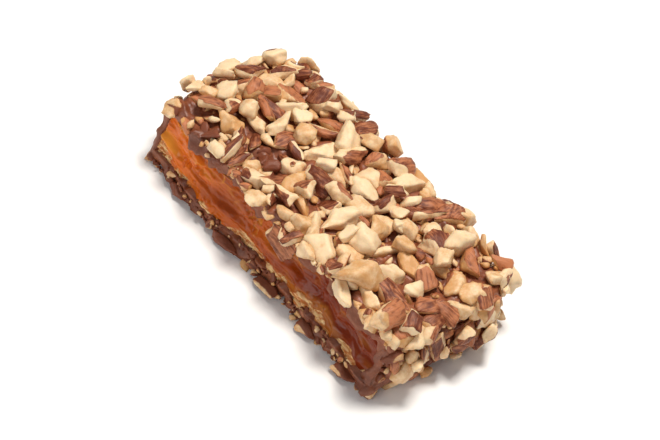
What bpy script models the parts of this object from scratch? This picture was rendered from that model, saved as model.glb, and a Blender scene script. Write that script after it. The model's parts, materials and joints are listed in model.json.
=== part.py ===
"""English toffee: half a square of butter toffee, coated in milk chocolate and rolled in chopped almonds.

The piece lies flat on its underside. X runs along the broken side, Y from the broken side to the back and
Z up, with the origin under the middle of the piece. Lengths are in metres.

toffee_slab      the toffee, bare along the broken side
chocolate_coat   the chocolate, with the finest almond in it, round the other five sides of the toffee
almond_NN        the largest pieces of almond, each one seated in a pocket of the coat
"""

import math
import random

import bmesh
import bpy
from mathutils import Matrix, Vector
from mathutils.bvhtree import BVHTree

MM = 0.001
SEED = 21

# The coated block, without the almonds that stand out of it
LENGTH = 64 * MM
DEPTH = 30 * MM
TOFFEE_HEIGHT = 8.5 * MM
UNDER_COAT = 2.7 * MM
TOP_COAT = 2 * MM
SIDE_COAT = 2 * MM
HEIGHT = UNDER_COAT + TOFFEE_HEIGHT + TOP_COAT

# The coat: its rounded edges, the cells of its mesh, and the height of its lumps, which are waves, each with
# its turns (radians a mm along x, y and z) and phase. What looks down more steeply than the slope is flat.
EDGE_RADIUS = 2.4 * MM
CELL = 2.7 * MM
LUMP_HEIGHT = 0.22 * MM
LUMP_WAVES = (
    (Vector((0.53, 0.32, 0)), 0),
    (Vector((-0.23, 0.59, 0)), 1.7),
    (Vector((0.37, 0.45, 0.63)), 0),
)
UNDERSIDE_SLOPE = -0.9

# The broken side: waves, each with its height, turns along x and z, and phase; an uneven ledge, above which
# it steps in; and a lean. The break fades out behind it.
BREAK_WAVES = (
    (0.5 * MM, 0.12, 0, 0.6),
    (0.25 * MM, 0.27, 0.2, 2),
)
LEDGE_STEP = 0.7 * MM
LEDGE_HEIGHT = 6.4 * MM
LEDGE_RISE = 1.5 * MM
LEDGE_WAVE = (0.9 * MM, 0.16, 1.1)
LEAN = 0.14
BREAK_DEPTH = 9 * MM

# Clearance between pieces, and the least chocolate left under an almond
GAP = 0.3 * MM
LEAST_WALL = 0.4 * MM

# A whole almond, from which every piece is cut: a piece's middle is off the nut's own by at most these shares
# of its half length and width, and a piece without skin is cut from lower down
ALMOND_HALF = Vector((11.5, 6.5, 4.3)) * MM
ALMOND_TAPER = 0.3
OFF_LENGTH = (-0.4, 0.3)
OFF_WIDTH = (-0.3, 0.3)
FLESH_LEVEL = 0.45

# The cuts: how far each of six leans, the number of chipped corners, and how far out they lie in the piece
CUT_TILT = 0.42
CHIPS = 5
CHIP_REACH = (0.28, 0.42)
CORNER_MERGE = 0.3 * MM

# A piece is laid with a random tilt, and shrinks step by step where its neighbours leave too little room
LAY_TILT = math.radians(14)
SHRINK = 0.94

# Almond places, face by face: middle along and across the face, length, width and height (mm), turn (degrees)
# and the side that shows
ALMONDS = {
    "top": [
        (-22, -7.5, 6, 5, 4, -39, "meat"),
        (-28, -7.2, 4.5, 3.5, 3.5, 70, "meat"),
        (-28, 1, 7, 5, 4, 40, "meat"),
        (-19, -3.8, 5, 4, 4, -39, "meat"),
        (-21.8, 1.6, 8, 4, 4, 15, "skin"),
        (-28, 9.4, 6, 4, 4, 77, "meat"),
        (-21, 7.3, 9, 5, 4, 15, "meat"),
        (-23.4, 13, 5, 4, 4, 60, "skin"),
        (-13.2, 8.4, 6, 4, 4, 60, "skin"),
        (-8.4, 13.3, 7, 5, 4, -39, "skin"),
        (-8.2, 3.2, 9, 5, 4, 50, "meat"),
        (-14, -1.4, 6, 5, 4, -39, "skin"),
        (-2.2, 10.2, 7, 4, 4, 60, "meat"),
        (-2.9, -2.4, 7, 6, 5, 10, "skin"),
        (-9, -11.5, 7, 4, 4, 35, "meat"),
        (-5.4, -14.4, 6, 4, 3.5, 30, "meat"),
        (0, -12.4, 6, 4, 4, -14, "meat"),
        (-0.3, -8, 6, 2.8, 4, -20, "meat"),
        (6, -4.6, 9, 5.5, 5, 77, "meat"),
        (2.7, 4, 7, 5, 4, 30, "meat"),
        (10.8, 1.3, 7, 5, 4, 60, "meat"),
        (5.3, 12.3, 8, 6, 4, 50, "meat"),
        (19, 7.2, 7, 6, 4.5, 0, "meat"),
        (20.4, -0.4, 6, 5, 4, 30, "meat"),
        (15.4, -2.4, 8, 2.6, 4, 81, "meat"),
        (17, -7.6, 7, 4, 4, 60, "meat"),
        (13.4, -12.3, 6.5, 5, 4.5, 30, "skin"),
        (19.4, -14.4, 5, 4, 3.5, -39, "meat"),
        (22.2, -11.4, 6, 3.2, 4, -30, "meat"),
        (24, -7.8, 6, 5, 4, -5, "skin"),
        (26.8, -14.2, 5, 3.5, 3.5, 60, "meat"),
        (28.4, -3.6, 6, 5, 4, 60, "skin"),
        (24.8, 9.4, 7, 4, 4.5, -39, "skin"),
        (29.8, 5.4, 7, 5, 4, 97, "meat"),
        (14.4, 13.4, 7, 5, 4, 45, "skin"),
        (5.2, -14.8, 5, 3.5, 3.5, 60, "skin"),
        (9.2, -14.2, 4, 3, 3.5, 60, "meat"),
        (20.4, 13.6, 5, 4, 4, 20, "meat"),
        (29.6, 11.6, 6, 5, 4, 70, "meat"),
    ],
    "right": [
        (-10, -1, 6, 5, 3.5, 40, "meat"),
        (-3, 1, 7, 4, 3.5, 100, "meat"),
        (3, -1, 5, 4, 3.5, 20, "skin"),
        (8, 3, 6, 5, 4, 0, "meat"),
        (9, -3, 5, 4, 3.5, 70, "meat"),
    ],
    "left": [
        (-8, 0, 6, 4, 3.5, 70, "skin"),
        (2, 1, 6, 4, 3.5, 10, "meat"),
        (10, -1, 5, 4, 3, 40, "meat"),
    ],
    "back": [
        (-26, 0, 6, 5, 3.5, 80, "meat"),
        (-15, 1, 7, 4, 3.5, 15, "skin"),
        (-5, -1, 6, 5, 3.5, 50, "meat"),
        (6, 1, 6, 5, 3.5, 0, "meat"),
        (16, -1, 7, 4, 3.5, 60, "skin"),
        (26, 0, 6, 4, 3.5, 20, "meat"),
    ],
    "foot": [
        (-22, 1.1, 6, 2, 3.5, 0, "meat"),
        (-8, 1.1, 7, 2, 3.5, 0, "skin"),
        (4, 1.1, 6, 2, 3.5, 0, "meat"),
        (15, 1.1, 5, 2, 3.5, 0, "meat"),
        (26, 1.1, 6, 2, 3.5, 0, "skin"),
    ],
}

# The middle of each face, its two directions and the chocolate between it and the toffee. The foot is the
# lower edge of the broken side, where almonds stick out from under the piece.
FACES = {
    "top": (Vector((0, 0, HEIGHT)), Vector((1, 0, 0)), Vector((0, 1, 0)), TOP_COAT),
    "right": (Vector((LENGTH / 2, 0, HEIGHT / 2)), Vector((0, 1, 0)), Vector((0, 0, 1)), SIDE_COAT),
    "left": (Vector((-LENGTH / 2, 0, HEIGHT / 2)), Vector((0, -1, 0)), Vector((0, 0, 1)), SIDE_COAT),
    "back": (Vector((0, DEPTH / 2, HEIGHT / 2)), Vector((-1, 0, 0)), Vector((0, 0, 1)), SIDE_COAT),
    "foot": (Vector((0, -DEPTH / 2, 0)), Vector((1, 0, 0)), Vector((0, 0, 1)), SIDE_COAT),
}

# Linear colour and roughness
FINISHES = {
    "toffee": ((0.36, 0.10, 0.022), 0.22),
    "chocolate": ((0.115, 0.045, 0.028), 0.42),
    "meat": ((0.80, 0.58, 0.32), 0.55),
    "skin": ((0.25, 0.085, 0.035), 0.60),
}

BLOCK_LOW = Vector((-LENGTH / 2, -DEPTH / 2, 0))
BLOCK_HIGH = Vector((LENGTH / 2, DEPTH / 2, HEIGHT))
TOFFEE_LOW = BLOCK_LOW + Vector((SIDE_COAT, 0, UNDER_COAT))
TOFFEE_HIGH = BLOCK_HIGH - Vector((SIDE_COAT, SIDE_COAT, TOP_COAT))


def new_collection(name):
    collection = bpy.data.collections.new(name)
    bpy.context.scene.collection.children.link(collection)
    return collection


def finish_material(name):
    """The plain material of one finish, made once."""
    if name in bpy.data.materials:
        return bpy.data.materials[name]
    colour, roughness = FINISHES[name]
    material = bpy.data.materials.new(name)
    material.use_nodes = True
    shader = material.node_tree.nodes["Principled BSDF"]
    shader.inputs["Base Color"].default_value = (*colour, 1)
    shader.inputs["Roughness"].default_value = roughness
    shader.inputs["Metallic"].default_value = 0
    return material


def new_object(name, bm, collection, finish=None):
    """Turns the bmesh into a named object; one without a finish is a cutter."""
    bmesh.ops.recalc_face_normals(bm, faces=bm.faces)
    mesh = bpy.data.meshes.new(name)
    bm.to_mesh(mesh)
    bm.free()
    obj = bpy.data.objects.new(name, mesh)
    collection.objects.link(obj)
    if finish:
        mesh.materials.append(finish_material(finish))
    else:
        obj.hide_render = True
        obj.display_type = "WIRE"
    return obj


def box(low, high):
    """A cube primitive stretched between two corners."""
    bm = bmesh.new()
    bmesh.ops.create_cube(bm, size=1)
    bmesh.ops.scale(bm, vec=high - low, verts=bm.verts)
    bmesh.ops.translate(bm, vec=(low + high) / 2, verts=bm.verts)
    return bm


def slice_block(bm, axis, places):
    """Cuts the block's faces across one axis at each of the places."""
    normal = Vector((0, 0, 0))
    normal[axis] = 1
    for place in places:
        geom = bm.verts[:] + bm.edges[:] + bm.faces[:]
        bmesh.ops.bisect_plane(bm, geom=geom, plane_co=normal * place, plane_no=normal)


def even_places(low, high, cell):
    """Places that share out the stretch between two ends into equal cells."""
    count = math.ceil((high - low) / cell)
    return [low + (high - low) * i / count for i in range(1, count)]


def smooth_step(t):
    t = min(max(t, 0), 1)
    return t * t * (3 - 2 * t)


def fracture(x, z):
    """How far back the broken side lies: it wanders, steps in above a ledge and leans back with height."""
    along, up = x / MM, z / MM
    wander = sum(high * math.sin(turn_x * along + turn_z * up + phase)
                 for high, turn_x, turn_z, phase in BREAK_WAVES)
    ledge_sway, ledge_turn, ledge_phase = LEDGE_WAVE
    ledge = LEDGE_HEIGHT + ledge_sway * math.sin(ledge_turn * along + ledge_phase)
    return wander + LEDGE_STEP * smooth_step((z - ledge) / LEDGE_RISE + 0.5) + LEAN * (z - UNDER_COAT)


def break_front(bm):
    """Moves the flat front of a block onto the broken surface, and what lies behind it part of the way."""
    for vert in bm.verts:
        nearness = 1 - (vert.co.y - BLOCK_LOW.y) / BREAK_DEPTH
        if nearness > 0:
            vert.co.y += fracture(vert.co.x, vert.co.z) * nearness


def lump(place):
    """How far the coat stands out at a place."""
    return LUMP_HEIGHT * sum(math.sin(turns.dot(place) / MM + phase) for turns, phase in LUMP_WAVES)


def make_toffee(collection):
    """The slab: flat where the chocolate covers it, and broken along its bare side."""
    bm = box(TOFFEE_LOW, TOFFEE_HIGH)
    slice_block(bm, 0, even_places(TOFFEE_LOW.x, TOFFEE_HIGH.x, CELL))
    slice_block(bm, 2, even_places(TOFFEE_LOW.z, TOFFEE_HIGH.z, CELL / 2))
    back = [face for face in bm.faces if face.normal.y > 0.9]
    bmesh.ops.dissolve_faces(bm, faces=back)
    break_front(bm)
    return new_object("toffee_slab", bm, collection, "toffee")


def make_coat(collection):
    """The coat, still solid: a lumpy block with round edges, flat underneath, and broken as the toffee is."""
    bm = box(BLOCK_LOW, BLOCK_HIGH)
    inner_low = BLOCK_LOW + Vector((EDGE_RADIUS, 0, EDGE_RADIUS))
    inner_high = BLOCK_HIGH - Vector((EDGE_RADIUS, EDGE_RADIUS, EDGE_RADIUS))
    for axis in range(3):
        low, high = BLOCK_LOW[axis], BLOCK_HIGH[axis]
        edges = [low + EDGE_RADIUS / 2, low + EDGE_RADIUS, high - EDGE_RADIUS, high - EDGE_RADIUS / 2]
        slice_block(bm, axis, edges + even_places(low + EDGE_RADIUS, high - EDGE_RADIUS, CELL))
    for vert in bm.verts:
        inner = Vector([min(max(vert.co[i], inner_low[i]), inner_high[i]) for i in range(3)])
        past = vert.co - inner
        depth = max(abs(past[i]) for i in range(3))
        outward = past.normalized()
        if outward.z >= 0:
            vert.co = inner + outward * depth * (1 + lump(vert.co) / EDGE_RADIUS)
        elif outward.z > UNDERSIDE_SLOPE:
            vert.co = inner + outward * depth
    break_front(bm)
    bm.normal_update()
    under = [face for face in bm.faces if face.normal.z < -0.999]
    bmesh.ops.dissolve_faces(bm, faces=under)
    return new_object("chocolate_coat", bm, collection, "chocolate")


def hull(points):
    """The convex solid round some points."""
    bm = bmesh.new()
    for point in points:
        bm.verts.new(point)
    bmesh.ops.remove_doubles(bm, verts=bm.verts, dist=CORNER_MERGE)
    made = bmesh.ops.convex_hull(bm, input=bm.verts)
    inside = [item for item in made["geom_interior"] if isinstance(item, bmesh.types.BMVert)]
    bmesh.ops.delete(bm, geom=inside, context="VERTS")
    return bm


def cut_off(bm, place, normal):
    """Takes away what lies past a plane, and closes the cut."""
    geom = bm.verts[:] + bm.edges[:] + bm.faces[:]
    cut = bmesh.ops.bisect_plane(bm, geom=geom, plane_co=place, plane_no=normal, clear_outer=True)
    rim = [item for item in cut["geom_cut"] if isinstance(item, bmesh.types.BMEdge)]
    bmesh.ops.holes_fill(bm, edges=rim)


def chopped_almond(size, shown, rng):
    """The corners of a chopped almond piece, round its own middle: cut on six sides, and chipped."""
    bm = bmesh.new()
    bmesh.ops.create_icosphere(bm, subdivisions=2, radius=1)
    for vert in bm.verts:
        tapered = 1 - ALMOND_TAPER * max(vert.co.x, 0)
        vert.co = vert.co * Vector((ALMOND_HALF.x, ALMOND_HALF.y * tapered, ALMOND_HALF.z * tapered))
    top = ALMOND_HALF.z * (1 if shown == "skin" else FLESH_LEVEL)
    off_x = rng.uniform(*OFF_LENGTH) * ALMOND_HALF.x
    off_y = rng.uniform(*OFF_WIDTH) * ALMOND_HALF.y
    middle = Vector((off_x, off_y, top - size.z / 2))
    for axis in range(3):
        for side in (-1, 1):
            normal = Vector([rng.uniform(-CUT_TILT, CUT_TILT) for _ in range(3)])
            normal[axis] = side
            place = middle.copy()
            place[axis] += side * size[axis] / 2
            cut_off(bm, place, normal)
    for _ in range(CHIPS):
        corner = Vector([rng.choice((-1, 1)) for _ in range(3)])
        place = middle + corner * size * rng.uniform(*CHIP_REACH)
        cut_off(bm, place, Vector([corner[i] / size[i] for i in range(3)]))
    corners = [vert.co.copy() for vert in bm.verts]
    bm.free()
    low = Vector([min(corner[i] for corner in corners) for i in range(3)])
    high = Vector([max(corner[i] for corner in corners) for i in range(3)])
    fit = Vector([size[i] / (high[i] - low[i]) for i in range(3)])
    return [(corner - (low + high) / 2) * fit for corner in corners]


def grown(corners, margin):
    """The corners moved apart, so that the solid round them is wider by the margin on every side."""
    middle = sum(corners, Vector()) / len(corners)
    reach = [max(abs(corner[i] - middle[i]) for corner in corners) for i in range(3)]
    factor = Vector([1 + margin / reach[i] for i in range(3)])
    return [middle + (corner - middle) * factor for corner in corners]


def touches(corners, others):
    """Whether a solid, with its clearance, meets any of the others."""
    bm = hull(grown(corners, GAP))
    tree = BVHTree.FromBMesh(bm)
    bm.free()
    return any(tree.overlap(other) for other in others)


def lay_almonds(collection, cutters):
    """Seats every almond piece in its face, making one smaller if its neighbours leave it too little room."""
    rng = random.Random(SEED)
    placed = []
    for face, rows in ALMONDS.items():
        centre, along, across, coat = FACES[face]
        outward = along.cross(across)
        seat = coat - LEAST_WALL - 2 * GAP
        axes = Matrix((along, across, outward)).transposed()
        for u, v, length, width, height, turn, shown in rows:
            size = Vector((length, width, height)) * MM
            corners = chopped_almond(size, shown, rng)
            lay = Matrix.Rotation(math.radians(turn), 3, "Z")
            if face != "foot":
                lay = lay @ Matrix.Rotation(rng.uniform(-LAY_TILT, LAY_TILT), 3, "X")
            scale = 1
            while True:
                turned = [lay @ corner * scale for corner in corners]
                lowest = min(corner.z for corner in turned)
                sit = Vector((u * MM, v * MM, -seat - lowest))
                place = centre + axes @ sit
                spots = [place + axes @ corner for corner in turned]
                if not touches(spots, placed):
                    break
                scale *= SHRINK
            piece = hull(spots)
            placed.append(BVHTree.FromBMesh(piece))
            number = len(placed)
            new_object(f"almond_{number:02d}", piece, collection, shown)
            new_object(f"pocket_{number:02d}", hull(grown(spots, GAP)), cutters)


def make_toffee_pocket(cutters):
    """The room that the toffee takes up in the coat, open at the broken side."""
    clearance = Vector((GAP, GAP, GAP))
    past_front = Vector((0, DEPTH / 2, 0))
    bm = box(TOFFEE_LOW - clearance - past_front, TOFFEE_HIGH + clearance)
    new_object("pocket_toffee", bm, cutters)


def cut_pockets(coat, cutters):
    modifier = coat.modifiers.new("pockets", "BOOLEAN")
    modifier.operation = "DIFFERENCE"
    modifier.solver = "EXACT"
    modifier.operand_type = "COLLECTION"
    modifier.collection = cutters


def centre_over_origin(parts, cutters):
    """Slides everything level so that the origin lies under the middle of the piece."""
    corners = [vert.co for obj in parts.objects for vert in obj.data.vertices]
    shift = Vector([-(min(c[i] for c in corners) + max(c[i] for c in corners)) / 2 for i in range(2)] + [0])
    for obj in list(parts.objects) + list(cutters.objects):
        obj.location = shift


def main():
    for obj in list(bpy.data.objects):
        bpy.data.objects.remove(obj)
    parts = new_collection("english_toffee")
    cutters = new_collection("cutters")
    make_toffee(parts)
    coat = make_coat(parts)
    make_toffee_pocket(cutters)
    lay_almonds(parts, cutters)
    cut_pockets(coat, cutters)
    centre_over_origin(parts, cutters)


main()
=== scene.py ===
# English toffee: a broken half square of butter toffee in milk chocolate, rolled in chopped
# almonds.
# Lengths below are in millimetres, and the meshes are built in metres.
import json
from functools import partial

import bpy
import numpy as np
from mathutils import Matrix, Vector


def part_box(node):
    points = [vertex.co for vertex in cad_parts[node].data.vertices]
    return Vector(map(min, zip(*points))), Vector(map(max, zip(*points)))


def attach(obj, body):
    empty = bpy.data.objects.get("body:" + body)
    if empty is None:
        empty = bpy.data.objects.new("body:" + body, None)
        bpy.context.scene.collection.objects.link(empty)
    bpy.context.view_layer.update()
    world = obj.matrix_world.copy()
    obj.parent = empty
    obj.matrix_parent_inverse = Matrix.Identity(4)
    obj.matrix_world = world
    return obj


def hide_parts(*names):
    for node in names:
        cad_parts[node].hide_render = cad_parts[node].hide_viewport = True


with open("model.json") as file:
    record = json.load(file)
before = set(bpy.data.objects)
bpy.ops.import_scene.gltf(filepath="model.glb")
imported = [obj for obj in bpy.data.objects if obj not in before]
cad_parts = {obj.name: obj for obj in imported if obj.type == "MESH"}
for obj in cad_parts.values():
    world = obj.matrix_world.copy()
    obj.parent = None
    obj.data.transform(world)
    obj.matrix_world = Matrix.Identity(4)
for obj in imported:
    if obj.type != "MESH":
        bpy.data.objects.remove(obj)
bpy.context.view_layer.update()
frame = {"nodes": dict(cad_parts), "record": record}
mm = 0.001
print("frame loaded:", len(frame["nodes"]), "nodes")


def boxOf(node):
    # lowest and highest corner of a CAD node, in mm
    low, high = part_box(node)
    return np.array(low) / mm, np.array(high) / mm


# Shape tools


def smoothStep(low, high, value):
    # 0 below low and 1 above high, with t*t*(3 - 2t) between
    t = np.clip((value - low) / (high - low), 0, 1)
    return t * t * (3 - 2 * t)


def waveField(points, size, seed, octaves=3, stretch=(1, 1, 1)):
    # a soft random field, about -1 to 1: the sum of sine waves in random directions, each octave
    # half as long and half as high as the one before
    rng = np.random.default_rng(seed)
    waves = 10
    total = np.zeros(points.shape[:-1])
    for octave in range(octaves):
        direction = rng.normal(size=(waves, 3))
        direction /= np.linalg.norm(direction, axis=1, keepdims=True)
        pitch = size / 2 ** octave * rng.uniform(0.7, 1.4, waves)
        phase = rng.uniform(0, 2 * np.pi, waves)
        turns = (points / np.array(stretch)) @ (direction / pitch[:, None]).T
        total += np.sin(2 * np.pi * turns + phase).sum(-1) / (0.85 * waves ** 0.5) / 2 ** octave
    return total


def meshPiece(name, points, quads, triangles, material, attributes=None):
    # puts whole arrays into a mesh: points in mm, faces as corner numbers, and attributes as one
    # value or vector a point; where the volume, the sum of a . (b x c) / 6 over the triangles,
    # comes out negative, the faces are turned round
    halves = np.concatenate([quads[:, :3], quads[:, [0, 2, 3]], triangles])
    a, b, c = (points[halves[:, i]] for i in range(3))
    if (a * np.cross(b, c)).sum() < 0:
        quads, triangles = quads[:, ::-1], triangles[:, ::-1]
    corners = np.concatenate([quads.ravel(), triangles.ravel()])
    starts = np.concatenate([np.arange(len(quads)) * 4, quads.size + np.arange(len(triangles)) * 3])
    mesh = bpy.data.meshes.new(name)
    mesh.vertices.add(len(points))
    mesh.vertices.foreach_set("co", (points * mm).astype(np.float32).ravel())
    mesh.loops.add(len(corners))
    mesh.loops.foreach_set("vertex_index", corners.astype(np.int32))
    mesh.polygons.add(len(starts))
    mesh.polygons.foreach_set("loop_start", starts.astype(np.int32))
    mesh.update(calc_edges=True)
    mesh.polygons.foreach_set("use_smooth", np.ones(len(starts), bool))
    for key, values in (attributes or {}).items():
        isVector = values.ndim == 2
        layer = mesh.attributes.new(key, "FLOAT_VECTOR" if isVector else "FLOAT", "POINT")
        layer.data.foreach_set("vector" if isVector else "value", values.astype(np.float32).ravel())
    mesh.materials.append(material)
    piece = bpy.data.objects.new(name, mesh)
    bpy.context.collection.objects.link(piece)
    return piece


def readRows(items, key, kind=np.float32):
    # three numbers of every item of a mesh as rows, or one number of every corner as triangles
    width = 1 if key == "vertex_index" else 3
    values = np.zeros(len(items) * width, kind)
    items.foreach_get(key, values)
    return values.reshape(-1, 3)


def ballFaces(rings, around, copies=1):
    # faces of a closed skin: a pole, rings of points and a pole, repeated for copies in a row
    ring = 1 + np.arange(rings)[:, None] * around
    here = ring + np.arange(around)
    beside = ring + (np.arange(around) + 1) % around
    quads = np.stack([here[:-1], beside[:-1], beside[1:], here[1:]], -1).reshape(-1, 4)
    last = 1 + rings * around
    firstCap = np.stack([np.zeros(around, int), beside[0], here[0]], -1)
    lastCap = np.stack([np.full(around, last), here[-1], beside[-1]], -1)
    triangles = np.concatenate([firstCap, lastCap])
    shift = np.arange(copies)[:, None, None] * (last + 1)
    return (quads + shift).reshape(-1, 4), (triangles + shift).reshape(-1, 3)


def ballDirections(rings, around):
    # unit directions in the order of ballFaces: from +x to -x, with the angle from the x axis and
    # the turn about it in equal steps
    angle = np.pi * np.arange(1, rings + 1)[:, None] / (rings + 1)
    turn = 2 * np.pi * np.arange(around) / around
    x, y, z = np.cos(angle), np.sin(angle) * np.cos(turn), np.sin(angle) * np.sin(turn)
    ring = np.stack(np.broadcast_arrays(x, y, z), -1)
    return np.concatenate([[[1, 0, 0]], ring.reshape(-1, 3), [[-1, 0, 0]]])


def triangleCount(quads, triangles):
    return len(quads) * 2 + len(triangles)


# Material tools


def hexColour(code):
    # an sRGB hex code as linear RGBA
    part = np.array([int(code[i:i + 2], 16) for i in (1, 3, 5)]) / 255
    linear = np.where(part <= 0.04045, part / 12.92, ((part + 0.055) / 1.055) ** 2.4)
    return (*linear.tolist(), 1.0)


def fillSockets(tree, node, inputs):
    # each input is another node's output, a hex colour or a plain value
    for key, value in inputs.items():
        if isinstance(value, bpy.types.NodeSocket):
            tree.links.new(value, node.inputs[key])
        else:
            isColour = isinstance(value, str)
            node.inputs[key].default_value = hexColour(value) if isColour else value


def addNode(tree, kind, inputs=(), output=0, **settings):
    # adds a node with its settings and inputs, by socket or in their order, and gives its output
    node = tree.nodes.new("ShaderNode" + kind)
    for key, value in settings.items():
        setattr(node, key, value)
    fillSockets(tree, node, inputs if isinstance(inputs, dict) else dict(enumerate(inputs)))
    return node.outputs[output]


def newMaterial(name):
    # gives the material, its shader, its tree, and addNode for that tree
    material = bpy.data.materials.new(name)
    material.use_nodes = True
    tree = material.node_tree
    return material, tree.nodes["Principled BSDF"], tree, partial(addNode, tree)


def patternsOf(add, vector, patterns):
    # noise for each row of a look's patterns; the vector is in mm
    found = []
    for size, length, detail, roughness in patterns.values():
        scale = (1 / (size * length), 1 / size, 1 / size)
        place = add("Mapping", {0: vector, 3: scale}, vector_type="POINT")
        inputs = {"Vector": place, "Scale": 1.0, "Detail": detail, "Roughness": roughness}
        found.append(add("TexNoise", inputs))
    return found


def dress(tree, shader, look, colour, roughness, height):
    # links what changes over the surface, and sets what is the same all over it
    strength, distance = look["bump"]
    bump = {"Strength": strength, "Distance": distance * mm, "Height": height}
    inputs = {"Base Color": colour, "Roughness": roughness, "Normal": addNode(tree, "Bump", bump)}
    fillSockets(tree, shader, {**inputs, **look["shader"]})


# Driving sizes, worked out from the frame

slabLow, slabHigh = boxOf("toffee_slab")
slabLow[0] -= 1.0  # the toffee reaches nearly to the left end, where its coat is thin
slabDepth = 28  # behind the mean place of the broken side
front = slabHigh[1] - slabDepth

coat = {
    "top": 1.7,  # chocolate over the toffee
    "side": 1.5,
    "under": 1.8,
    "radius": 2.2,  # of its edges
    "corner": 5,  # radius of its two back corners, seen from above
    "endRadius": 1.6,  # of the edges round its two ends
    "cell": 0.33,  # length of a face along the piece
    "lumps": 0.28,
    "meniscus": 0.62,  # how far it climbs round an almond
    "meniscusReach": 0.75,
    "endSteps": (26, 7),  # from each end's middle to its edge, and round that edge
    "topSteps": 76,  # front to back
    "edgeSteps": 8,
    "wallSteps": 26,
    "rimSteps": 6,
    "insideSteps": (5, 14),  # front to back, and up
    "lumpSize": 5,
    "run": 0.9,  # how far it has run over the toffee round the break
    "runPitch": 5,
    "runFade": (1.2, 0.1),  # it is nothing and full at these distances from the toffee
    "runEnds": (2, 9),  # and at these distances from the left end
    "overGround": 0.4,  # its underside, which stands on almonds
}
coatLow = np.array([slabLow[0] - coat["side"], front, slabLow[2] - coat["under"]])
coatHigh = np.array([
    slabHigh[0] + coat["side"],
    front + slabDepth + coat["side"],
    slabHigh[2] + coat["top"],
])
innerLow = coatLow + np.array([coat["radius"], -100, coat["radius"]])
innerHigh = coatHigh - coat["radius"]

breakShape = {  # a wave has its size, its turn for each mm along the piece and its start
    "wave": (0.5, 0.12, 0.6),
    "ripple": (0.25, 0.27, 2),
    "rippleTilt": 0.2,  # its turn for each mm of height
    "ledge": 0.7,  # how far the break steps back above a ledge
    "ledgeHeight": 6.4,
    "ledgeWave": (0.9, 0.16, 1.1),
    "ledgeSoftness": 0.75,
    "lean": 0.14,  # back for each mm of height
}


def depthShare(points):
    # how deep the piece is at a place along it: less at the ends, where the back corners are round
    half = (coatHigh[0] - coatLow[0]) / 2
    past = np.abs(points[..., 0] - (coatLow[0] + half)) - (half - coat["corner"])
    t = np.clip(past / coat["corner"], 0, 0.97)
    return 1 - coat["corner"] * (1 - np.sqrt(1 - t * t)) / (coatHigh[1] - front)


def cornered(points):
    # from the square layout to the real piece, whose back corners are round
    moved = points.copy()
    moved[..., 1] = front + (points[..., 1] - front) * depthShare(points)
    return moved


def squared(points):
    # from the real piece back to the square layout
    moved = points.copy()
    moved[..., 1] = front + (points[..., 1] - front) / depthShare(points)
    return moved


def awayFromCoat(points):
    # distance from the smooth coat, outside positive, and the way out, both in the square layout:
    # how far a point is from a box, less the radius of its edges
    away = points - np.clip(points, innerLow, innerHigh)
    distance = np.linalg.norm(away, axis=-1, keepdims=True)
    return distance[..., 0] - coat["radius"], away / np.maximum(distance, 1e-6)


def fracture(x, z):
    # how far back the broken side lies: two sine waves along the piece, a step in above a ledge
    # and a lean with height
    size, turn, start = breakShape["wave"]
    wave = size * np.sin(turn * x + start)
    size, turn, start = breakShape["ripple"]
    ripple = size * np.sin(turn * x + breakShape["rippleTilt"] * z + start)
    size, turn, start = breakShape["ledgeWave"]
    overLedge = z - breakShape["ledgeHeight"] - size * np.sin(turn * x + start)
    softness = breakShape["ledgeSoftness"]
    ledge = breakShape["ledge"] * smoothStep(-softness, softness, overLedge)
    return wave + ripple + ledge + breakShape["lean"] * (z - slabLow[2])


# Materials. A pattern has the width of its blobs in mm, their length to that, its detail and its
# roughness; a bump has its strength and its height in mm.

almondLook = {
    "cream": "#efd3ab",
    "tan": "#d09b62",
    "toasted": "#b06c35",
    "skinDark": "#662b13",
    "skinLight": "#be7850",
    "smear": "#7c422a",
    "patterns": {
        "blotch": (1.9, 1, 3.0, 0.5),
        "fine": (0.4, 1, 4.0, 0.6),
        "wrinkle": (0.42, 7, 3.0, 0.6),  # the folds of the skin
    },
    "bump": (0.75, 0.16),
    "shader": {
        "Subsurface Weight": 0.2,
        "Subsurface Radius": (1.0, 0.55, 0.25),
        "Subsurface Scale": 1.0 * mm,
        "Specular IOR Level": 0.4,
    },
}


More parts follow.
